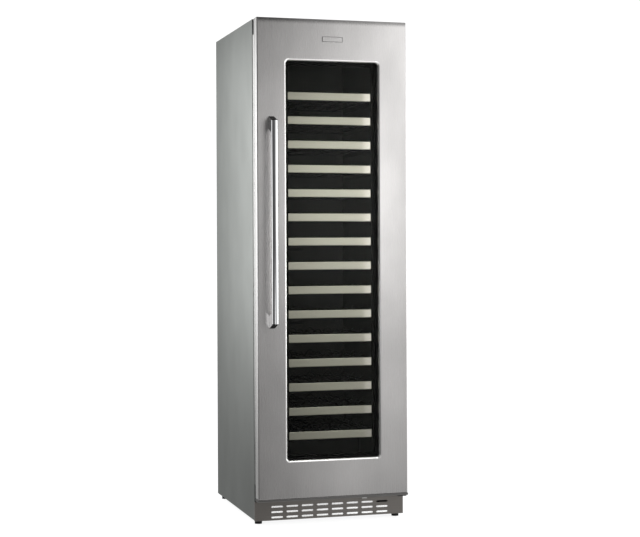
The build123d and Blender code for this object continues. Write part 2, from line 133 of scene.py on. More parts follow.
def loft(name, rings, close_around=False, cap=False):
    """Joins rings of equally many points with quads. close_around joins the last ring to the first."""
    bm = bmesh.new()
    loops = [[bm.verts.new(point) for point in ring] for ring in rings]
    following = loops[1:] + loops[:1] if close_around else loops[1:]
    for near, far in zip(loops, following):
        for i in range(len(near)):
            j = (i + 1) % len(near)
            bm.faces.new((near[i], near[j], far[j], far[i]))
    if cap:
        bm.faces.new(loops[0][::-1])
        bm.faces.new(loops[-1])
    bmesh.ops.recalc_face_normals(bm, faces=bm.faces)
    mesh = bpy.data.meshes.new(name)
    bm.to_mesh(mesh)
    bm.free()
    return link_mesh(name, mesh)


def rounded_rectangle(half_width, low, high, radius, steps=CORNER_STEPS):
    """Points (x, z) around a rectangle with round corners, the same number whatever the size."""
    points = []
    corners = (
        (half_width - radius, high - radius, 0),
        (-half_width + radius, high - radius, 90),
        (-half_width + radius, low + radius, 180),
        (half_width - radius, low + radius, 270),
    )
    for x, z, start in corners:
        for step in range(steps + 1):
            angle = math.radians(start + 90 * step / steps)
            points.append((x + radius * math.cos(angle), z + radius * math.sin(angle)))
    return points


def frame_ring(inset, depth, half_width, low, high, corner):
    """One ring of a rectangular frame, moved in by inset, at a depth behind the door's front plane."""
    radius = max(corner - inset, 0.2 * MM)
    outline = rounded_rectangle(half_width - inset, low + inset, high - inset, radius)
    return [(x, FRONT + depth, z) for x, z in outline]


def swept_frame(name, profile, half_width, low, high, corner):
    """A closed moulding: profile is (inset, depth) points, swept around a rectangle."""
    rings = [frame_ring(inset, depth, half_width, low, high, corner) for inset, depth in profile]
    return loft(name, rings, close_around=True)


def extruded(name, profile, low, high, axis="X"):
    """A prism: profile is (y, z) points swept along X, or (x, y) points swept along Z."""
    ends = []
    for place in (low, high):
        if axis == "X":
            ends.append([(place, a, b) for a, b in profile])
        else:
            ends.append([(a, b, place) for a, b in profile])
    return loft(name, ends, cap=True)


def arc(centre, radius, start, end, steps=6):
    """Points along an arc in a plane, from one angle to another in degrees."""
    points = []
    for step in range(steps + 1):
        angle = math.radians(start + (end - start) * step / steps)
        points.append((centre[0] + radius * math.cos(angle), centre[1] + radius * math.sin(angle)))
    return points


def keep_flat(piece):
    """Weights the normals by face size, so that large faces shade flat."""
    weighted = piece.modifiers.new("weighted", "WEIGHTED_NORMAL")
    weighted.keep_sharp = True
    return piece


def bevel(piece, width, segments=2):
    """Rounds the sharp edges of a piece and keeps its flat faces flat."""
    weld = piece.modifiers.new("weld", "WELD")
    weld.merge_threshold = WELD_REACH
    rounding = piece.modifiers.new("bevel", "BEVEL")
    rounding.width = width
    rounding.segments = segments
    rounding.limit_method = "ANGLE"
    rounding.angle_limit = math.radians(35)
    rounding.harden_normals = True
    return keep_flat(piece)


def paint(piece, material):
    """Gives the whole piece one material."""
    piece.data.materials.clear()
    piece.data.materials.append(material)


def mark(piece, material, test):
    """Gives one more material to the faces that pass a test of their middle and normal."""
    piece.data.materials.append(material)
    for polygon in piece.data.polygons:
        if test(polygon.center, polygon.normal):
            polygon.material_index = len(piece.data.materials) - 1


def place(piece, body, slot, material, node):
    """Paints a new piece, rides it on a body and lets it stand for its CAD node."""
    paint(piece, material)
    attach(piece, body)
    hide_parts(node)


# ---- materials -----------------------------------------------------------------------------------
def calculate(tree, operation, first, second):
    """A maths node of two inputs, each a number or another node's output."""
    node = tree.nodes.new("ShaderNodeMath")
    node.operation = operation
    for socket, value in zip(node.inputs, (first, second)):
        if isinstance(value, (int, float)):
            socket.default_value = value
        else:
            tree.links.new(value, socket)
    return node.outputs["Value"]


class Shader:
    """A material with one Principled shader and short calls to wire its textures."""

    def __init__(self, name, colour, roughness, metallic=0.0, **sockets):
        self.material = bpy.data.materials.new(name)
        self.material.use_nodes = True
        self.tree = self.material.node_tree
        self.nodes = self.tree.nodes
        self.links = self.tree.links
        self.surface = self.nodes["Principled BSDF"]
        self.surface.inputs["Base Color"].default_value = (*colour, 1)
        self.surface.inputs["Roughness"].default_value = roughness
        self.surface.inputs["Metallic"].default_value = metallic
        for socket, value in sockets.items():
            self.surface.inputs[socket.replace("_", " ")].default_value = value

    def position(self):
        """The place on the object, in metres."""
        return self.nodes.new("ShaderNodeTexCoord").outputs["Object"]

    def coordinates(self):
        """The place on the object as its X, Y and Z."""
        split = self.nodes.new("ShaderNodeSeparateXYZ")
        self.links.new(self.position(), split.inputs["Vector"])
        return split.outputs

    def noise(self, stretch, detail=3.0, rough=0.6):
        """A noise texture over the object, stretched by a scale along each axis."""
        mapping = self.nodes.new("ShaderNodeMapping")
        mapping.inputs["Scale"].default_value = stretch
        texture = self.nodes.new("ShaderNodeTexNoise")
        texture.inputs["Scale"].default_value = 1.0
        texture.inputs["Detail"].default_value = detail
        texture.inputs["Roughness"].default_value = rough
        self.links.new(self.position(), mapping.inputs["Vector"])
        self.links.new(mapping.outputs["Vector"], texture.inputs["Vector"])
        return texture.outputs["Fac"]

    def spread(self, factor, low, high, source_low=0.3, source_high=0.7):
        """Maps a range of values, by default a noise's, to another."""
        node = self.nodes.new("ShaderNodeMapRange")
        node.inputs["From Min"].default_value = source_low
        node.inputs["From Max"].default_value = source_high
        node.inputs["To Min"].default_value = low
        node.inputs["To Max"].default_value = high
        self.links.new(factor, node.inputs["Value"])
        return node.outputs["Result"]

    def two_colours(self, factor, dark, light, low=0.3, high=0.7):
        """A colour that runs from dark to light as a value goes from low to high, by default a noise."""
        ramp = self.nodes.new("ShaderNodeValToRGB")
        ramp.color_ramp.elements[0].position = low
        ramp.color_ramp.elements[1].position = high
        ramp.color_ramp.elements[0].color = (*dark, 1)
        ramp.color_ramp.elements[1].color = (*light, 1)
        self.links.new(factor, ramp.inputs["Fac"])
        return ramp.outputs["Color"]

    def bump(self, height, strength, distance):
        """A bump from a height."""
        node = self.nodes.new("ShaderNodeBump")
        node.inputs["Strength"].default_value = strength
        node.inputs["Distance"].default_value = distance
        self.links.new(height, node.inputs["Height"])
        self.links.new(node.outputs["Normal"], self.surface.inputs["Normal"])

    def blended(self, first, second, share):
        """A mix of two values, with a share of the second."""
        rest = calculate(self.tree, "MULTIPLY", first, 1 - share)
        part = calculate(self.tree, "MULTIPLY", second, share)
        return calculate(self.tree, "ADD", rest, part)

    def feed(self, socket, output):
        """Wires an output into one of the shader's sockets."""
        self.links.new(output, self.surface.inputs[socket])


def brushed_metal(name, dark, light, rough, grain, cloud=0.0, bump=0.02):
    """Metal with fine brush lines, scaled by grain along X, Y and Z, and with a share of soft clouding."""
    shader = Shader(name, light, rough[0], metallic=1.0)
    lines = shader.noise(grain, detail=4.0, rough=0.7)
    tone = lines
    if cloud:
        soft = shader.noise((9, 9, 5), detail=2.0, rough=0.5)
        tone = shader.blended(lines, soft, cloud)
    shader.feed("Base Color", shader.two_colours(tone, dark, light))
    shader.feed("Roughness", shader.spread(lines, rough[0], rough[1]))
    shader.bump(lines, bump, BUMP_DEPTH)
    return shader.material


def moulded_plastic(name, colour, rough, grain=900.0, bump=0.15, shine=0.5):
    """Moulded plastic with a fine eroded grain; shine is how much its surface mirrors."""
    shader = Shader(name, colour, rough, Specular_IOR_Level=shine)
    pits = shader.noise((grain, grain, grain), detail=2.0)
    cloud = shader.noise((9, 9, 9), detail=2.0)
    darker = tuple(c * 0.8 for c in colour)
    lighter = tuple(min(c * 1.2 + 0.002, 1) for c in colour)
    shader.feed("Base Color", shader.two_colours(cloud, darker, lighter))
    shader.feed("Roughness", shader.spread(cloud, rough * 0.9, min(rough * 1.1, 1)))
    shader.bump(pits, bump, BUMP_DEPTH)
    return shader.material


def coated_steel(name, colour, rough):
    """Powder-coated steel with a slight orange peel."""
    shader = Shader(name, colour, rough)
    peel = shader.noise((350, 350, 350), detail=1.0)
    cloud = shader.noise((6, 6, 6))
    shader.feed("Base Color", shader.two_colours(cloud, tuple(c * 0.8 for c in colour), colour))
    shader.bump(peel, 0.12, BUMP_DEPTH)
    return shader.material


def galvanised(name, dark, light, rough, scale):
    """Zinc-coated sheet with a soft spangle of a given scale."""
    shader = Shader(name, light, rough[0], metallic=0.9)
    cells = shader.nodes.new("ShaderNodeTexVoronoi")
    cells.inputs["Scale"].default_value = scale
    shader.links.new(shader.position(), cells.inputs["Vector"])
    tone = shader.nodes.new("ShaderNodeSeparateColor")
    shader.links.new(cells.outputs["Color"], tone.inputs["Color"])
    spangle = tone.outputs["Red"]
    shader.feed("Base Color", shader.two_colours(spangle, dark, light, 0, 1))
    shader.feed("Roughness", shader.spread(spangle, rough[0], rough[1], 0, 1))
    return shader.material


def clear_glass(name, tint, mirroring):
    """A thin pane: what is behind shows unbent through a tint, and its front mirrors a little."""
    material = bpy.data.materials.new(name)
    material.use_nodes = True
    tree = material.node_tree
    tree.nodes.remove(tree.nodes["Principled BSDF"])
    through = tree.nodes.new("ShaderNodeBsdfTransparent")
    through.inputs["Color"].default_value = (*tint, 1)
    mirror = tree.nodes.new("ShaderNodeBsdfGlossy")
    mirror.inputs["Roughness"].default_value = 0.02
    mirror.inputs["Color"].default_value = (1, 1, 1, 1)
    fresnel = tree.nodes.new("ShaderNodeFresnel")
    fresnel.inputs["IOR"].default_value = 1.45
    mix = tree.nodes.new("ShaderNodeMixShader")
    share = calculate(tree, "MULTIPLY", fresnel.outputs["Fac"], mirroring)
    tree.links.new(share, mix.inputs["Fac"])
    tree.links.new(through.outputs["BSDF"], mix.inputs[1])
    tree.links.new(mirror.outputs["BSDF"], mix.inputs[2])
    tree.links.new(mix.outputs["Shader"], tree.nodes["Material Output"].inputs["Surface"])
    return material


def frame_plastic(black, white, dim, dim_height, full_light_height):
    """The black front frame, whose edge at the handle is a white strip as high as the seal.

    The strip is painted darker towards the bottom as painted shade: it brightens from a share dim of its
    white, at dim_height and below, to all of it at the fully lit height above.
    """
    shader = Shader("frame_plastic", black, 0.5)
    seal_low, seal_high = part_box("door_gasket")
    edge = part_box("front_frame")[0].x + 0.3 * MM
    x, _, z = shader.coordinates()
    strip = calculate(shader.tree, "LESS_THAN", x, edge)
    above = calculate(shader.tree, "GREATER_THAN", z, seal_low.z)
    below = calculate(shader.tree, "LESS_THAN", z, seal_high.z)
    # The last factor is painted shade: the strip is painted dimmer towards the bottom.
    for factor in (above, below, shader.spread(z, dim, 1, dim_height, full_light_height)):
        strip = calculate(shader.tree, "MULTIPLY", strip, factor)
    shader.feed("Base Color", shader.two_colours(strip, black, white, 0, 1))
    return shader.material


BUMP_DEPTH = 0.1 * MM
# The noise scales of brush lines that run along Z and along X.
ALONG_Z = (1600, 1600, 5)
ALONG_X = (4, 1200, 1200)
STEEL_DARK = (0.585, 0.573, 0.566)
STEEL_LIGHT = (0.700, 0.685, 0.676)
DOOR_STEEL = brushed_metal("door_steel", STEEL_DARK, STEEL_LIGHT, (0.25, 0.31), ALONG_Z, cloud=0.6)
# The door's sides and window roll: the door's steel painted near white, a painted highlight.
PAINTED_HIGHLIGHT_STEEL = brushed_metal("painted_highlight_edge", (0.92, 0.915, 0.90), (0.98, 0.975, 0.96), (0.22, 0.28), ALONG_Z)
SIDE_DARK = (0.285, 0.303, 0.287)
SIDE_LIGHT = (0.355, 0.376, 0.358)
SIDE_STEEL = brushed_metal("side_steel", SIDE_DARK, SIDE_LIGHT, (0.30, 0.36), ALONG_Z, cloud=0.6)
TRIM_DARK = (0.61, 0.58, 0.52)
TRIM_LIGHT = (0.70, 0.665, 0.62)
TRIM_STEEL = brushed_metal("trim_steel", TRIM_DARK, TRIM_LIGHT, (0.28, 0.36), (6, 1200, 1600))
PLINTH_DARK = (0.290, 0.270, 0.252)
PLINTH_LIGHT = (0.350, 0.327, 0.305)
PLINTH_STEEL = brushed_metal("plinth_steel", PLINTH_DARK, PLINTH_LIGHT, (0.34, 0.42), ALONG_X)
CAP_STEEL = brushed_metal("cap_steel", (0.20, 0.195, 0.19), (0.26, 0.255, 0.25), (0.30, 0.40), ALONG_X)
CHROME = brushed_metal("chrome", (0.78, 0.78, 0.79), (0.84, 0.84, 0.85), (0.05, 0.08), (30, 30, 30), bump=0.0)
BADGE_METAL = brushed_metal("badge_metal", STEEL_DARK, STEEL_LIGHT, (0.24, 0.30), (6, 900, 900), cloud=0.6)
ZINC = galvanised("galvanised", (0.51, 0.52, 0.53), (0.56, 0.57, 0.58), (0.40, 0.46), 150)
SCREW_METAL = brushed_metal("screw_metal", (0.42, 0.42, 0.42), (0.56, 0.56, 0.56), (0.25, 0.35), (90, 90, 90))
COIL_METAL = brushed_metal("coil_metal", (0.48, 0.49, 0.49), (0.60, 0.61, 0.61), (0.28, 0.40), (40, 40, 40))
SPACER_BLACK = moulded_plastic("spacer_black", (0.003, 0.003, 0.003), 0.7, shine=0.1)
BORDER_BLACK = moulded_plastic("border_black", (0.003, 0.003, 0.003), 0.6, shine=0.1)
BLACK_TONE = (0.006, 0.007, 0.007)
BLACK = moulded_plastic("black_plastic", BLACK_TONE, 0.5)
# The white strip is painted darker towards the bottom: painted shade.
FRAME_BLACK = frame_plastic(BLACK_TONE, (0.75, 0.75, 0.73), dim=0.13, dim_height=0.30, full_light_height=1.15)
LINER_BLACK = moulded_plastic("liner_black", (0.060, 0.060, 0.058), 0.6)
BUTTON_BLACK = moulded_plastic("button_black", (0.03, 0.03, 0.032), 0.2, bump=0.03)
LAMP_WHITE = moulded_plastic("lamp_white", (0.80, 0.82, 0.82), 0.3, bump=0.02)
NYLON = moulded_plastic("nylon", (0.70, 0.70, 0.67), 0.4)
SEAL = moulded_plastic("seal", (0.62, 0.62, 0.60), 0.6, grain=500)
INLET_RUBBER = moulded_plastic("inlet_rubber", (0.02, 0.02, 0.02), 0.7)
GROOVE_BLACK = moulded_plastic("groove_black", (0.10, 0.10, 0.10), 0.6)
COIL_PAINT = coated_steel("coil_paint", (0.03, 0.03, 0.032), 0.5)
FOAM = moulded_plastic("foam", (0.72, 0.62, 0.36), 0.9, grain=250, bump=0.5)
FILTER_WHITE = moulded_plastic("filter_white", (0.97, 0.97, 0.96), 0.9, grain=700, bump=0.4)
FOOT_BLACK = moulded_plastic("foot_black", (0.008, 0.008, 0.008), 0.5, shine=0.2)
BLACK_STEEL = coated_steel("black_steel", (0.012, 0.012, 0.012), 0.35)
WIRE_BLACK = coated_steel("wire_black", (0.012, 0.012, 0.013), 0.6)
GLASS = clear_glass("clear_glass", (0.965, 0.97, 0.955), mirroring=0.09)


# ---- door ----------------------------------------------------------------------------------------
def door_roll_ring(turn):
    """One ring of the door's outer roll, a turn round from side to front. The top edge rolls over softly."""
    sink, rise = 1 - math.cos(turn), 1 - math.sin(turn)
    middle = (DOOR_LOW.z + DOOR_HIGH.z) / 2
    outline = rounded_rectangle(HALF_WIDTH, DOOR_LOW.z, DOOR_HIGH.z, DOOR_CORNER_RADIUS)
    ring = []
    for index, (x, z) in enumerate(outline):
        corner, step = divmod(index, CORNER_STEPS + 1)
        around = math.radians(90 * (corner + step / CORNER_STEPS))
        depth, drop = DOOR_SIDE_RADIUS, DOOR_SIDE_RADIUS
        if z > middle:
            depth += (DOOR_TOP_ROLL_DEPTH - DOOR_SIDE_RADIUS) * math.sin(around) ** 2
            drop = DOOR_TOP_ROLL
        x -= math.copysign(DOOR_SIDE_RADIUS * sink, x)
        z -= math.copysign(drop * sink, z - middle)
        ring.append((x, FRONT + depth * rise, z))
    return ring


def door_skin():
    """The folded stainless front with rolled edges around the outside and around the window."""
    outside = (HALF_WIDTH, DOOR_LOW.z, DOOR_HIGH.z, DOOR_CORNER_RADIUS)
    window = (WINDOW_HALF_WIDTH, WINDOW_LOW, WINDOW_HIGH, WINDOW_CORNER)
    turns = [math.radians(90 * step / ROLL_STEPS) for step in range(ROLL_STEPS + 1)]
    rings = [frame_ring(0, DOOR_HIGH.y - FRONT, *outside)]
    for turn in turns:
        rings.append(door_roll_ring(turn))
    for turn in turns:
        outset = WINDOW_ROLL * (1 - math.sin(turn))
        depth = WINDOW_ROLL * (1 - math.cos(turn))
        rings.append(frame_ring(-outset, depth, *window))
    rings.append(frame_ring(0, GLASS_DEPTH - 0.2 * MM, *window))
    piece = loft("door_skin_formed", rings)
    cut_hinge_notch(piece)
    wall = piece.modifiers.new("wall", "SOLIDIFY")
    wall.thickness = SHEET
    wall.offset = -1
    wall.use_even_offset = True
    return keep_flat(piece)


def cut_hinge_notch(piece):
    """Opens the door's top corner for the upper hinge arm, and closes the opening with three walls."""
    arm_low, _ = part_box("hinge_bracket_top")
    side = arm_low.x - NOTCH_SIDE_GAP
    front = arm_low.y - NOTCH_FRONT_GAP
    floor = DOOR_HIGH.z - NOTCH_DROP
    bm = bmesh.new()
    bm.from_mesh(piece.data)
    for point, normal in (((side, 0, 0), (1, 0, 0)), ((0, front, 0), (0, 1, 0)), ((0, 0, floor), (0, 0, 1))):
        geometry = bm.verts[:] + bm.edges[:] + bm.faces[:]
        bmesh.ops.bisect_plane(bm, geom=geometry, plane_co=point, plane_no=normal)
    inside = []
    for face in bm.faces:
        centre = face.calc_center_median()
        if centre.x > side and centre.y > front and centre.z > floor:
            inside.append(face)
    bmesh.ops.delete(bm, geom=inside, context="FACES")
    back, top = DOOR_HIGH.y, DOOR_HIGH.z
    corner = (side, front, floor)
    ledge = [corner, (HALF_WIDTH, front, floor), (HALF_WIDTH, back, floor), (side, back, floor)]
    end = [corner, (side, back, floor), (side, back, top), (side, front, top)]
    rim = [corner, (side, front, top), (HALF_WIDTH - DOOR_CORNER_RADIUS, front, top)]
    rim += [(HALF_WIDTH, front, top - DOOR_CORNER_RADIUS), (HALF_WIDTH, front, floor)]
    for wall in (ledge, end, rim):
        bm.faces.new([bm.verts.new(point) for point in wall]).smooth = True
    bm.to_mesh(piece.data)
    bm.free()


def bottom_cap():
    """The end strip under the door, rounded along its lower front edge."""
    low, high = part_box("door_bottom_cap")
    profile = [(low.y, DOOR_LOW.z), (high.y, DOOR_LOW.z), (high.y, low.z)]
    profile += arc((low.y + CAP_RADIUS, low.z + CAP_RADIUS), CAP_RADIUS, 270, 180)
    piece = extruded("door_bottom_cap_strip", profile, low.x, high.x)
    return bevel(piece, 0.5 * MM)


def handle_bar():
    """The chromed round grip with softly rounded ends."""
    centre = (BAR_LOW + BAR_HIGH) / 2
    radius = (BAR_HIGH.x - BAR_LOW.x) / 2
    # The flat of an end, as two small rings, and then its round edge.
    stations = [(radius * 0.02, BAR_LOW.z), (radius * 0.4, BAR_LOW.z)]
    stations += arc((radius - BAR_END_RADIUS, BAR_LOW.z + BAR_END_RADIUS), BAR_END_RADIUS, 270, 360)
    stations += [(reach, BAR_LOW.z + BAR_HIGH.z - z) for reach, z in reversed(stations)]
    rings = []
    for reach, z in stations:
        circle = arc(centre, reach, 0, 360, BAR_SIDES)[:-1]
        rings.append([(x, y, z) for x, y in circle])
    return keep_flat(loft("handle_grip", rings, cap=True))


def handle_post(name, bar_z, root_z):
    """A slanted chromed post between the grip and the door."""
    centre = (BAR_LOW + BAR_HIGH) / 2
    outline = [(centre.y, bar_z - POST_HALF_HEIGHT), (FRONT, root_z - POST_HALF_HEIGHT)]
    outline += [(FRONT, root_z + POST_HALF_HEIGHT), (centre.y, bar_z + POST_HALF_HEIGHT)]
    piece = extruded(name, outline, centre.x - POST_HALF_WIDTH, centre.x + POST_HALF_WIDTH)
    return bevel(piece, 1.6 * MM, 4)


def badge():
    """A blank name plate: a thin rim, a dark groove and a raised middle."""
    middle = (BADGE_LOW + BADGE_HIGH) / 2
    half_width = (BADGE_HIGH.x - BADGE_LOW.x) / 2
    face, groove = BADGE_LOW.y, BADGE_LOW.y + BADGE_GROOVE_DEPTH
    profile = [(0, FRONT), (0, face + 0.3 * MM), (0.3 * MM, face), (0.9 * MM, face)]
    profile += [(1.0 * MM, groove), (2.6 * MM, groove), (2.7 * MM, face), (3.2 * MM, face)]
    rings = []
    for inset, y in profile:
        size = (half_width - inset, BADGE_LOW.z + inset, BADGE_HIGH.z - inset)
        outline = rounded_rectangle(*size, BADGE_CORNER - inset, 4)
        rings.append([(middle.x + x, y, z) for x, z in outline])
    return keep_flat(loft("badge_plate", rings, cap=True))


def gasket():
    """The magnetic door seal: a soft section with a waist near the door and rounded corners behind it."""
    low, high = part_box("door_gasket")
    front, back = low.y - FRONT, high.y - FRONT
    width = 14 * MM
    profile = [(0.5 * MM, front)]
    profile += [(0.0, front + 1.5 * MM), (1.2 * MM, front + 3.2 * MM), (0.2 * MM, front + 5 * MM)]
    profile += [(0.8 * MM, back - 1.2 * MM), (2.2 * MM, back), (width - 2.2 * MM, back)]
    profile += [(width - 0.8 * MM, back - 1.2 * MM), (width - 2 * MM, front + 3.5 * MM), (width, front)]
    return swept_frame("door_seal", profile, high.x, low.z, high.z, 5 * MM)


def door_foam():
    """The foam core between the skin and the inner frame, which follows the skin's rolled edges."""
    low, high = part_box("door_foam")
    front, back = low.y - FRONT, high.y - FRONT
    width = HALF_WIDTH - WINDOW_HALF_WIDTH
    gap = FOAM_GAP
    outer_slope, inner_slope = DOOR_TOP_ROLL_DEPTH + gap, WINDOW_ROLL + gap
    foam_top = DOOR_HIGH.z - FOAM_TOP_GAP
    beside_glass = HALF_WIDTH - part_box("glass_panes")[1].x - 0.6 * MM
    before_glass = GLASS_DEPTH - 1 * MM
    profile = [(gap, back), (gap, front + outer_slope), (gap + outer_slope, front + gap)]
    profile += [(width - inner_slope, front + gap), (width - gap, front + inner_slope)]
    profile += [(width - gap, before_glass), (beside_glass, before_glass), (beside_glass, back)]
    rings = []
    for inset, depth in profile:
        share = inset / width
        low_z = DOOR_LOW.z + (WINDOW_LOW - DOOR_LOW.z) * share
        high_z = foam_top + (WINDOW_HIGH - foam_top) * share
        outline = rounded_rectangle(HALF_WIDTH - inset, low_z, high_z, 2 * MM + WINDOW_CORNER * share)
        rings.append([(x, FRONT + depth, z) for x, z in outline])
    return loft("door_foam_core", rings, close_around=True)


def on_painted_highlight(middle, normal):
    """Whether a face of the door's skin is on a side or on the window's roll, which get a painted highlight:
    the same steel painted near white.
    """
    if abs(middle.x) > HALF_WIDTH - DOOR_SIDE_RADIUS:
        return abs(normal.x) > 0.97
    reach = 0.7 * WINDOW_ROLL
    across = abs(middle.x) < WINDOW_HALF_WIDTH + reach
    return across and WINDOW_LOW - reach < middle.z < WINDOW_HIGH + reach


def in_badge_groove(middle, normal):
    """Whether a face of the name plate is the floor of its groove."""
    return abs(middle.y - BADGE_LOW.y - BADGE_GROOVE_DEPTH) < 0.05 * MM


def on_bar_end(middle, normal):
    """Whether a face of the grip is part of the black cap on one of its ends."""
    return not BAR_LOW.z + BAR_END_CAP < middle.z < BAR_HIGH.z - BAR_END_CAP


# Each part of the door: its piece, slot, material and CAD node.
DOOR_PARTS = (
    (door_foam(), "foam_core", FOAM, "door_foam"),
    (door_skin(), "brushed_stainless", DOOR_STEEL, "door_skin"),
    (bottom_cap(), "cap_steel", CAP_STEEL, "door_bottom_cap"),
    (handle_bar(), "chrome_plate", CHROME, "handle_bar"),
    (badge(), "badge_metal", BADGE_METAL, "badge"),
    (gasket(), "gasket_rubber", SEAL, "door_gasket"),
)
# The second material of a part, and the faces that have it.
DOOR_MARKS = {
    # Painted highlight: the door's sides and window roll are painted near-white steel.
    "door_skin": (PAINTED_HIGHLIGHT_STEEL, on_painted_highlight),
    "badge": (GROOVE_BLACK, in_badge_groove),
    "handle_bar": (BORDER_BLACK, on_bar_end),
}
for piece, slot, material, node in DOOR_PARTS:
    place(piece, "door", slot, material, node)
    if node in DOOR_MARKS:
        mark(piece, *DOOR_MARKS[node])
for name, end, inwards in (("handle_post_top", BAR_HIGH.z, -1), ("handle_post_low", BAR_LOW.z, 1)):
    bar_z = end + inwards * POST_INSET
    post = handle_post(name, bar_z, bar_z - inwards * POST_RISE)
    place(post, "door", "chrome_plate", CHROME, "handle_brackets")
    mark(post, BORDER_BLACK, lambda middle, normal: -normal.z * inwards > 0.5)


# ---- shelves -------------------------------------------------------------------------------------
def trim_profile(low, high):
    """The section of a shelf's folded steel strip, as (y, z) points."""
    top, bottom, front, back = high.z, low.z, low.y, low.y + TRIM_DEPTH
    upper = (front + TRIM_RADIUS, top - TRIM_RADIUS)
    lower = (front + TRIM_RADIUS, bottom + TRIM_RADIUS)
    inner = TRIM_RADIUS - SHEET
    profile = [(back, top)]
    profile += arc(upper, TRIM_RADIUS, 90, 180)
    profile += arc(lower, TRIM_RADIUS, 180, 270)
    profile += [(back, bottom), (back, bottom + SHEET)]
    profile += arc(lower, inner, 270, 180, 3)
    profile += arc(upper, inner, 180, 90, 3)
    profile += [(back, top - SHEET)]
    return profile


def wires_to_mesh(name, paths, radius):
    """Round wires along lists of points, as one mesh."""
    curve = bpy.data.curves.new(name, "CURVE")
    curve.dimensions = "3D"
    curve.bevel_depth = radius
    curve.bevel_resolution = 2
    curve.use_fill_caps = True
    for path in paths:
        spline = curve.splines.new("POLY")
        spline.points.add(len(path) - 1)
        for point, where in zip(spline.points, path):
            point.co = (*where, 1)
    holder = bpy.data.objects.new(name, curve)
    mesh = bpy.data.meshes.new_from_object(holder)
    bpy.data.objects.remove(holder)
    return mesh


def cradle(half, y, z):
    """A cross wire that dips under every bottle and rises between them."""
    points = []
    steps = BOTTLES_ACROSS * CRADLE_STEPS
    for step in range(steps + 1):
        share = step / steps
        wave = 0.5 + 0.5 * math.cos(math.tau * BOTTLES_ACROSS * share)
        points.append((-half + 2 * half * share, y, z + CRADLE_RISE * wave * wave))
    return points


def rack_mesh(low, high):
    """The wire rack of one shelf: long wires, wavy cradles and an end wire at the front and at the back."""
    half = high.x - RACK_SIDE_GAP
    front, back = low.y + RACK_FRONT_GAP, high.y
    long_z, cross_z = low.z + LONG_WIRE_RISE, low.z + CROSS_WIRE_RISE
    paths = []
    long_count = BOTTLES_ACROSS * 2
    for index in range(long_count + 1):
        x = -half + 2 * half * index / long_count
        z = long_z if index % 2 else long_z + LONG_WIRE_STAGGER
        paths.append([(x, front, z), (x, back, z)])
    first, last = front + CRADLE_FRONT_GAP, back - CRADLE_BACK_GAP
    for index in range(CRADLE_COUNT):
        y = first + (last - first) * index / (CRADLE_COUNT - 1)
        paths.append(cradle(half, y, cross_z))
    for y in (front, back):
        paths.append([(-half, y, cross_z), (half, y, cross_z)])
    return wires_to_mesh("shelf_rack", paths, WIRE_RADIUS)


first_low, first_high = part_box("shelf_01")
first_trim = extruded("trim_first", trim_profile(first_low, first_high), -TRIM_HALF_LENGTH, TRIM_HALF_LENGTH)
trim = first_trim.data
bpy.data.objects.remove(first_trim)
rack = rack_mesh(first_low, first_high)
for node in SHELVES:
    drop = Matrix.Translation((0, 0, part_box(node)[1].z - first_high.z))
    for part, mesh, slot, material in (
        ("trim", trim, "shelf_trim_stainless", TRIM_STEEL),
        ("rack", rack, "rack_wire_black", WIRE_BLACK),
    ):
        piece = link_mesh(f"{node}_{part}", mesh.copy())
        piece.data.transform(drop)
        if part == "trim":
            keep_flat(piece)
        place(piece, node, slot, material, node)


# ---- cabinet -------------------------------------------------------------------------------------
def side_panel(name, node, side):
    """A folded side sheet with a soft outer corner at the front and at the back. side is -1 on the left."""
    low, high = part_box(node)
    outer = side * max(abs(low.x), abs(high.x))
    corner, fold, wall = (outer - side * size for size in (SIDE_RADIUS, SIDE_FOLD, SHEET))
    outwards = 180 if side < 0 else 360
    outline = [(fold, low.y)]
    outline += arc((corner, low.y + SIDE_RADIUS), SIDE_RADIUS, 270, outwards, 5)
    outline += arc((corner, high.y - SIDE_RADIUS), SIDE_RADIUS, outwards % 360, 90, 5)
    outline += [(fold, high.y), (fold, high.y - SHEET)]
    outline += [(wall, high.y - SHEET), (wall, low.y + SHEET)]
    outline += [(fold, low.y + SHEET)]
    return keep_flat(extruded(name, outline, low.z, high.z, axis="Z"))


for hand, side in (("left", -1), ("right", 1)):
    node = f"side_panel_{hand}"
    piece = side_panel(f"side_sheet_{hand}", node, side)
    place(piece, "cabinet", "brushed_stainless", SIDE_STEEL, node)

# Each CAD node that is left as it is: its material, and how far its edges are rounded in millimetres.
CAD_LOOKS = {
    "top_panel": (ZINC, 0.4),
    "back_panel": (ZINC, 0),
    "base_tray": (ZINC, 0),
    "rear_cover": (ZINC, 0),
    "insulation_foam": (FOAM, 0),
    "inner_liner": (LINER_BLACK, 0),
    "front_frame": (FRAME_BLACK, 1.0),
    "door_inner_frame": (BORDER_BLACK, 1.0),
    "glass_panes": (GLASS, 0),
    "glass_spacer": (SPACER_BLACK, 0),
    "door_top_bush": (NYLON, 0.4),
    "shelf_runners": (BLACK, 1.0),
    "air_duct_cover": (LINER_BLACK, 0.6),
    "evaporator": (COIL_PAINT, 0.2),
    "compressor": (BLACK_STEEL, 0),
    "condenser": (COIL_METAL, 0),
    "fan_shroud": (BLACK, 0.6),
    "drip_tray": (BLACK, 0.6),
    "control_housing": (BLACK, 1.0),
    "led_strip": (LAMP_WHITE, 0.6),
    "kick_grille": (PLINTH_STEEL, 0.3),
    "dust_filter": (FILTER_WHITE, 0),
    "hinge_bracket_top": (BLACK_STEEL, 0.4),
    "hinge_bracket_bottom": (BLACK_STEEL, 0.4),
    "power_inlet": (INLET_RUBBER, 0.4),
    "circulation_fan": (BLACK, 0.3),
    "condenser_fan": (BLACK, 0.3),
    "screws": (SCREW_METAL, 0.2),
}
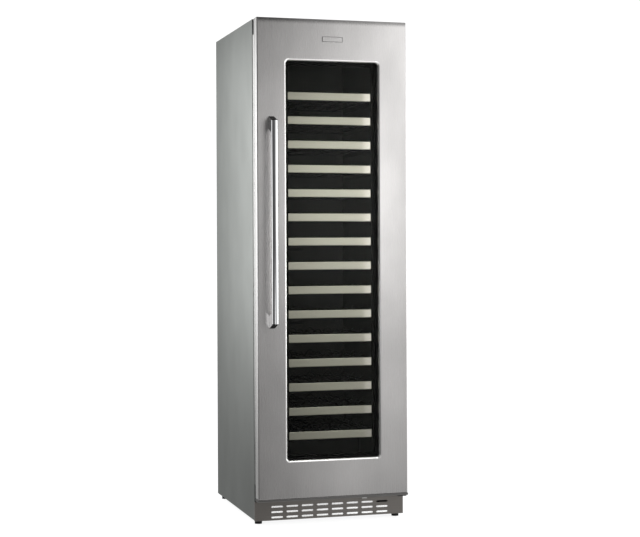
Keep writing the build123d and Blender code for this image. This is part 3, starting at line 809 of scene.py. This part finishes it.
for name in frame["nodes"]:
    if name.startswith("button_"):
        CAD_LOOKS[name] = (BUTTON_BLACK, 0.6)
    if name.startswith("foot_"):
        CAD_LOOKS[name] = (FOOT_BLACK, 0.8)
for name, (material, rounding) in CAD_LOOKS.items():
    node = frame["nodes"][name]
    paint(node, material)
    if rounding:
        bevel(node, rounding * MM)


# ---- studio --------------------------------------------------------------------------------------
# The camera's angles are in degrees, its lens and sensor in millimetres. Its shift is a share of the width.
CAMERA_PLACE = Vector((-1.612, -5.695, 1.0617))
CAMERA_YAW = 16.208
CAMERA_ROLL = -0.25
CAMERA_LENS = 82.496
CAMERA_SENSOR = 36
CAMERA_SHIFT = -0.03578
SKY_LIGHT = 1.1
ROOM_LIGHT = 0.12
FLOOR_REACH = 30
FLOOR_GREY = (0.23, 0.23, 0.23)
FLOOR_GLOW = 0.85
# The flag's left, right, front and back edges, its height, its glow at the right, and the x between which
# that glow rises.
FLAG_EDGES = (-0.7, 1.0, -0.56, -0.295)
FLAG_HEIGHT = 2.05
FLAG_GLOW = 0.42
FLAG_GLOW_START, FLAG_GLOW_END = -0.20, 0.35
# Each lobe of the room that mirrors see: its direction, the cosines between which it rises, its strength.
ROOM_LOBES = (
    ((1.0, 0.2, 0.0), 0.2, 0.9, 0.8),
    ((-0.2, 1.0, 0.0), 0.5, 1.0, 0.2),
    ((0.0, 0.0, -1.0), 0.1, 0.7, 0.5),
)
# Each panel has its middle, what it faces, its width and height, and its glowing spots. A spot has its
# middle, its reach sideways and upwards, and its brightness.
PANELS = {
    "panel_front": ((0.60, -1.35, 1.10), (0.60, -0.33, 1.10), (3.2, 4.0), (
        ((0.45, -1.35, 2.10), 0.50, 0.80, 0.577),
        ((0.45, -1.35, 1.30), 0.50, 0.80, 1.230),
        ((0.52, -1.35, 0.42), 0.50, 0.80, 0.280),
        ((0.32, -1.35, 0.00), 0.40, 0.32, 0.190),
        ((0.95, -1.35, 2.10), 0.50, 0.80, 1.910),
        ((-0.05, -1.35, 1.55), 0.50, 0.80, 0.310),
        ((0.00, -1.35, 0.80), 0.30, 0.28, 0.140),
        ((0.60, -1.35, 0.90), 1.20, 1.80, 0.420),
        ((-0.56, -1.35, 0.70), 0.22, 0.40, 2.000),
    )),
    "panel_side": ((-0.95, 1.00, 1.10), (-0.30, 0.0, 1.10), (0.9, 3.0), (
        ((-0.90, 1.00, 1.75), 0.50, 0.75, 1.92),
        ((-0.90, 1.00, 1.10), 0.50, 0.75, 1.70),
        ((-0.90, 1.00, 0.55), 0.50, 0.70, 0.68),
    )),
    "panel_right": ((2.60, -0.90, 1.10), (0.0, -0.30, 1.10), (1.8, 2.6), (
        ((2.60, -0.90, 1.10), 1.00, 1.40, 4.0),
    )),
    "panel_top": ((0.40, -1.05, 2.75), (0.40, -1.05, 0.0), (2.0, 1.2), (
        ((0.40, -1.05, 2.75), 1.10, 1.00, 4.0),
    )),
    "panel_left": ((-2.30, 0.90, 1.20), (-0.3, -0.20, 1.20), (1.6, 2.4), (
        ((-2.30, 0.90, 1.20), 0.90, 1.30, 2.5),
    )),
    "panel_shelves": ((0.20, -0.2815, 1.00), (0.20, 0.0, 1.00), (0.07, 1.55), (
        ((0.20, -0.2815, 1.20), 0.20, 1.50, 1.30),
        ((0.20, -0.2815, 1.80), 0.20, 1.00, 0.50),
    )),
}


def camera():
    """The camera: level, turned towards the door from its handle side, with a small downward shift."""
    data = bpy.data.cameras.new("camera")
    data.sensor_width = CAMERA_SENSOR
    data.lens = CAMERA_LENS
    data.shift_y = CAMERA_SHIFT
    data.clip_end = 100
    holder = bpy.data.objects.new("camera", data)
    pose = Matrix.Translation(CAMERA_PLACE)
    for degrees, axis in ((-CAMERA_YAW, "Z"), (90, "X"), (CAMERA_ROLL, "Z")):
        pose = pose @ Matrix.Rotation(math.radians(degrees), 4, axis)
    holder.matrix_world = pose
    bpy.context.scene.collection.objects.link(holder)
    bpy.context.scene.camera = holder


def panel(name, middle, aim, size, spots):
    """A flat lamp that the camera doesn't see, dark but for soft round spots that fade to nothing.

    Its energy is the one at which a spot of brightness 1 shines as brightly as a surface of emission 1.
    """
    data = bpy.data.lights.new(name, "AREA")
    data.shape = "RECTANGLE"
    data.size, data.size_y = size
    data.energy = math.pi * size[0] * size[1]
    data.use_nodes = True
    tree = data.node_tree
    where = tree.nodes.new("ShaderNodeNewGeometry").outputs["Position"]
    total = 0.0
    for centre, sideways, upwards, brightness in spots:
        total = calculate(tree, "ADD", total, spot(tree, where, centre, sideways, upwards, brightness))
    tree.links.new(total, tree.nodes["Emission"].inputs["Strength"])
    lamp = bpy.data.objects.new(name, data)
    direction = Vector(aim) - Vector(middle)
    lamp.rotation_euler = direction.to_track_quat("-Z", "Y").to_euler()
    lamp.location = middle
    lamp.visible_camera = False
    bpy.context.scene.collection.objects.link(lamp)


def smooth_step(tree, value, start, end, strength):
    """A strength that rises smoothly from nothing, as a value goes from start to end."""
    ramp = tree.nodes.new("ShaderNodeMapRange")
    ramp.interpolation_type = "SMOOTHSTEP"
    ramp.inputs["From Min"].default_value = start
    ramp.inputs["From Max"].default_value = end
    ramp.inputs["To Max"].default_value = strength
    tree.links.new(value, ramp.inputs["Value"])
    return ramp.outputs["Result"]


def spot(tree, where, centre, sideways, upwards, brightness):
    """A strength that falls smoothly from brightness at centre to nothing at the spot's reach."""
    from_centre = tree.nodes.new("ShaderNodeVectorMath")
    from_centre.operation = "SUBTRACT"
    from_centre.inputs[1].default_value = centre
    scaled = tree.nodes.new("ShaderNodeVectorMath")
    scaled.operation = "MULTIPLY"
    scaled.inputs[1].default_value = (1 / sideways, 1 / sideways, 1 / upwards)
    reach = tree.nodes.new("ShaderNodeVectorMath")
    reach.operation = "LENGTH"
    tree.links.new(where, from_centre.inputs[0])
    tree.links.new(from_centre.outputs["Vector"], scaled.inputs[0])
    tree.links.new(scaled.outputs["Vector"], reach.inputs[0])
    return smooth_step(tree, reach.outputs["Value"], 1.0, 0.0, brightness)


def lobe(tree, where, aim, start, end, strength):
    """A strength that rises from nothing as a direction turns towards aim."""
    dot = tree.nodes.new("ShaderNodeVectorMath")
    dot.operation = "DOT_PRODUCT"
    dot.inputs[1].default_value = Vector(aim).normalized()
    tree.links.new(where, dot.inputs[0])
    return smooth_step(tree, dot.outputs["Value"], start, end, strength)


def level_sheet(name, left, right, front, back, height):
    """A level rectangle, for the studio."""
    corners = [(left, front, height), (right, front, height), (right, back, height), (left, back, height)]
    mesh = bpy.data.meshes.new(name)
    mesh.from_pydata(corners, [], [(0, 1, 2, 3)])
    mesh.update()
    return link_mesh(name, mesh, smooth=False)


def floor():
    """A plain pale floor, which glows a little so that shadows on it stay faint."""
    ground = level_sheet("floor", -FLOOR_REACH, FLOOR_REACH, -FLOOR_REACH, FLOOR_REACH, 0)
    shader = Shader("floor_paint", FLOOR_GREY, 0.9)
    darker = tuple(0.9 * tone for tone in FLOOR_GREY)
    shader.feed("Base Color", shader.two_colours(shader.noise((1.5, 1.5, 1.5)), darker, FLOOR_GREY))
    shader.surface.inputs["Emission Color"].default_value = (1, 1, 1, 1)
    shader.surface.inputs["Emission Strength"].default_value = FLOOR_GLOW
    paint(ground, shader.material)
    ground.visible_glossy = False


def flag():
    """A small card over the door's front edge, which only mirrors see. Black, and greyer to the right."""
    card = level_sheet("flag", *FLAG_EDGES, FLAG_HEIGHT)
    shader = Shader("card_black", (0.01, 0.01, 0.01), 0.9)
    shader.surface.inputs["Emission Color"].default_value = (1, 1, 1, 1)
    glow = shader.spread(shader.coordinates()["X"], 0.0, FLAG_GLOW, FLAG_GLOW_START, FLAG_GLOW_END)
    shader.feed("Emission Strength", glow)
    paint(card, shader.material)
    card.visible_camera = False
    card.visible_diffuse = False
    card.visible_transmission = False
    card.visible_shadow = False


def world():
    """White for the eye and for soft light. Mirrors see a dim room that is brighter in a few directions."""
    scene_world = bpy.data.worlds.new("studio")
    bpy.context.scene.world = scene_world
    scene_world.use_nodes = True
    tree = scene_world.node_tree
    backdrop = tree.nodes["Background"]
    backdrop.inputs["Color"].default_value = (1, 1, 1, 1)
    backdrop.inputs["Strength"].default_value = SKY_LIGHT
    where = tree.nodes.new("ShaderNodeTexCoord").outputs["Generated"]
    total = ROOM_LIGHT
    for aim, start, end, strength in ROOM_LOBES:
        total = calculate(tree, "ADD", total, lobe(tree, where, aim, start, end, strength))
    room = tree.nodes.new("ShaderNodeBackground")
    tree.links.new(total, room.inputs["Strength"])
    rays = tree.nodes.new("ShaderNodeLightPath")
    mix = tree.nodes.new("ShaderNodeMixShader")
    tree.links.new(rays.outputs["Is Glossy Ray"], mix.inputs["Fac"])
    tree.links.new(backdrop.outputs["Background"], mix.inputs[1])
    tree.links.new(room.outputs["Background"], mix.inputs[2])
    tree.links.new(mix.outputs["Shader"], tree.nodes["World Output"].inputs["Surface"])


camera()
floor()
flag()
world()
for name, (middle, aim, size, spots) in PANELS.items():
    panel(name, middle, aim, size, spots)
bpy.context.scene.view_settings.view_transform = "Standard"
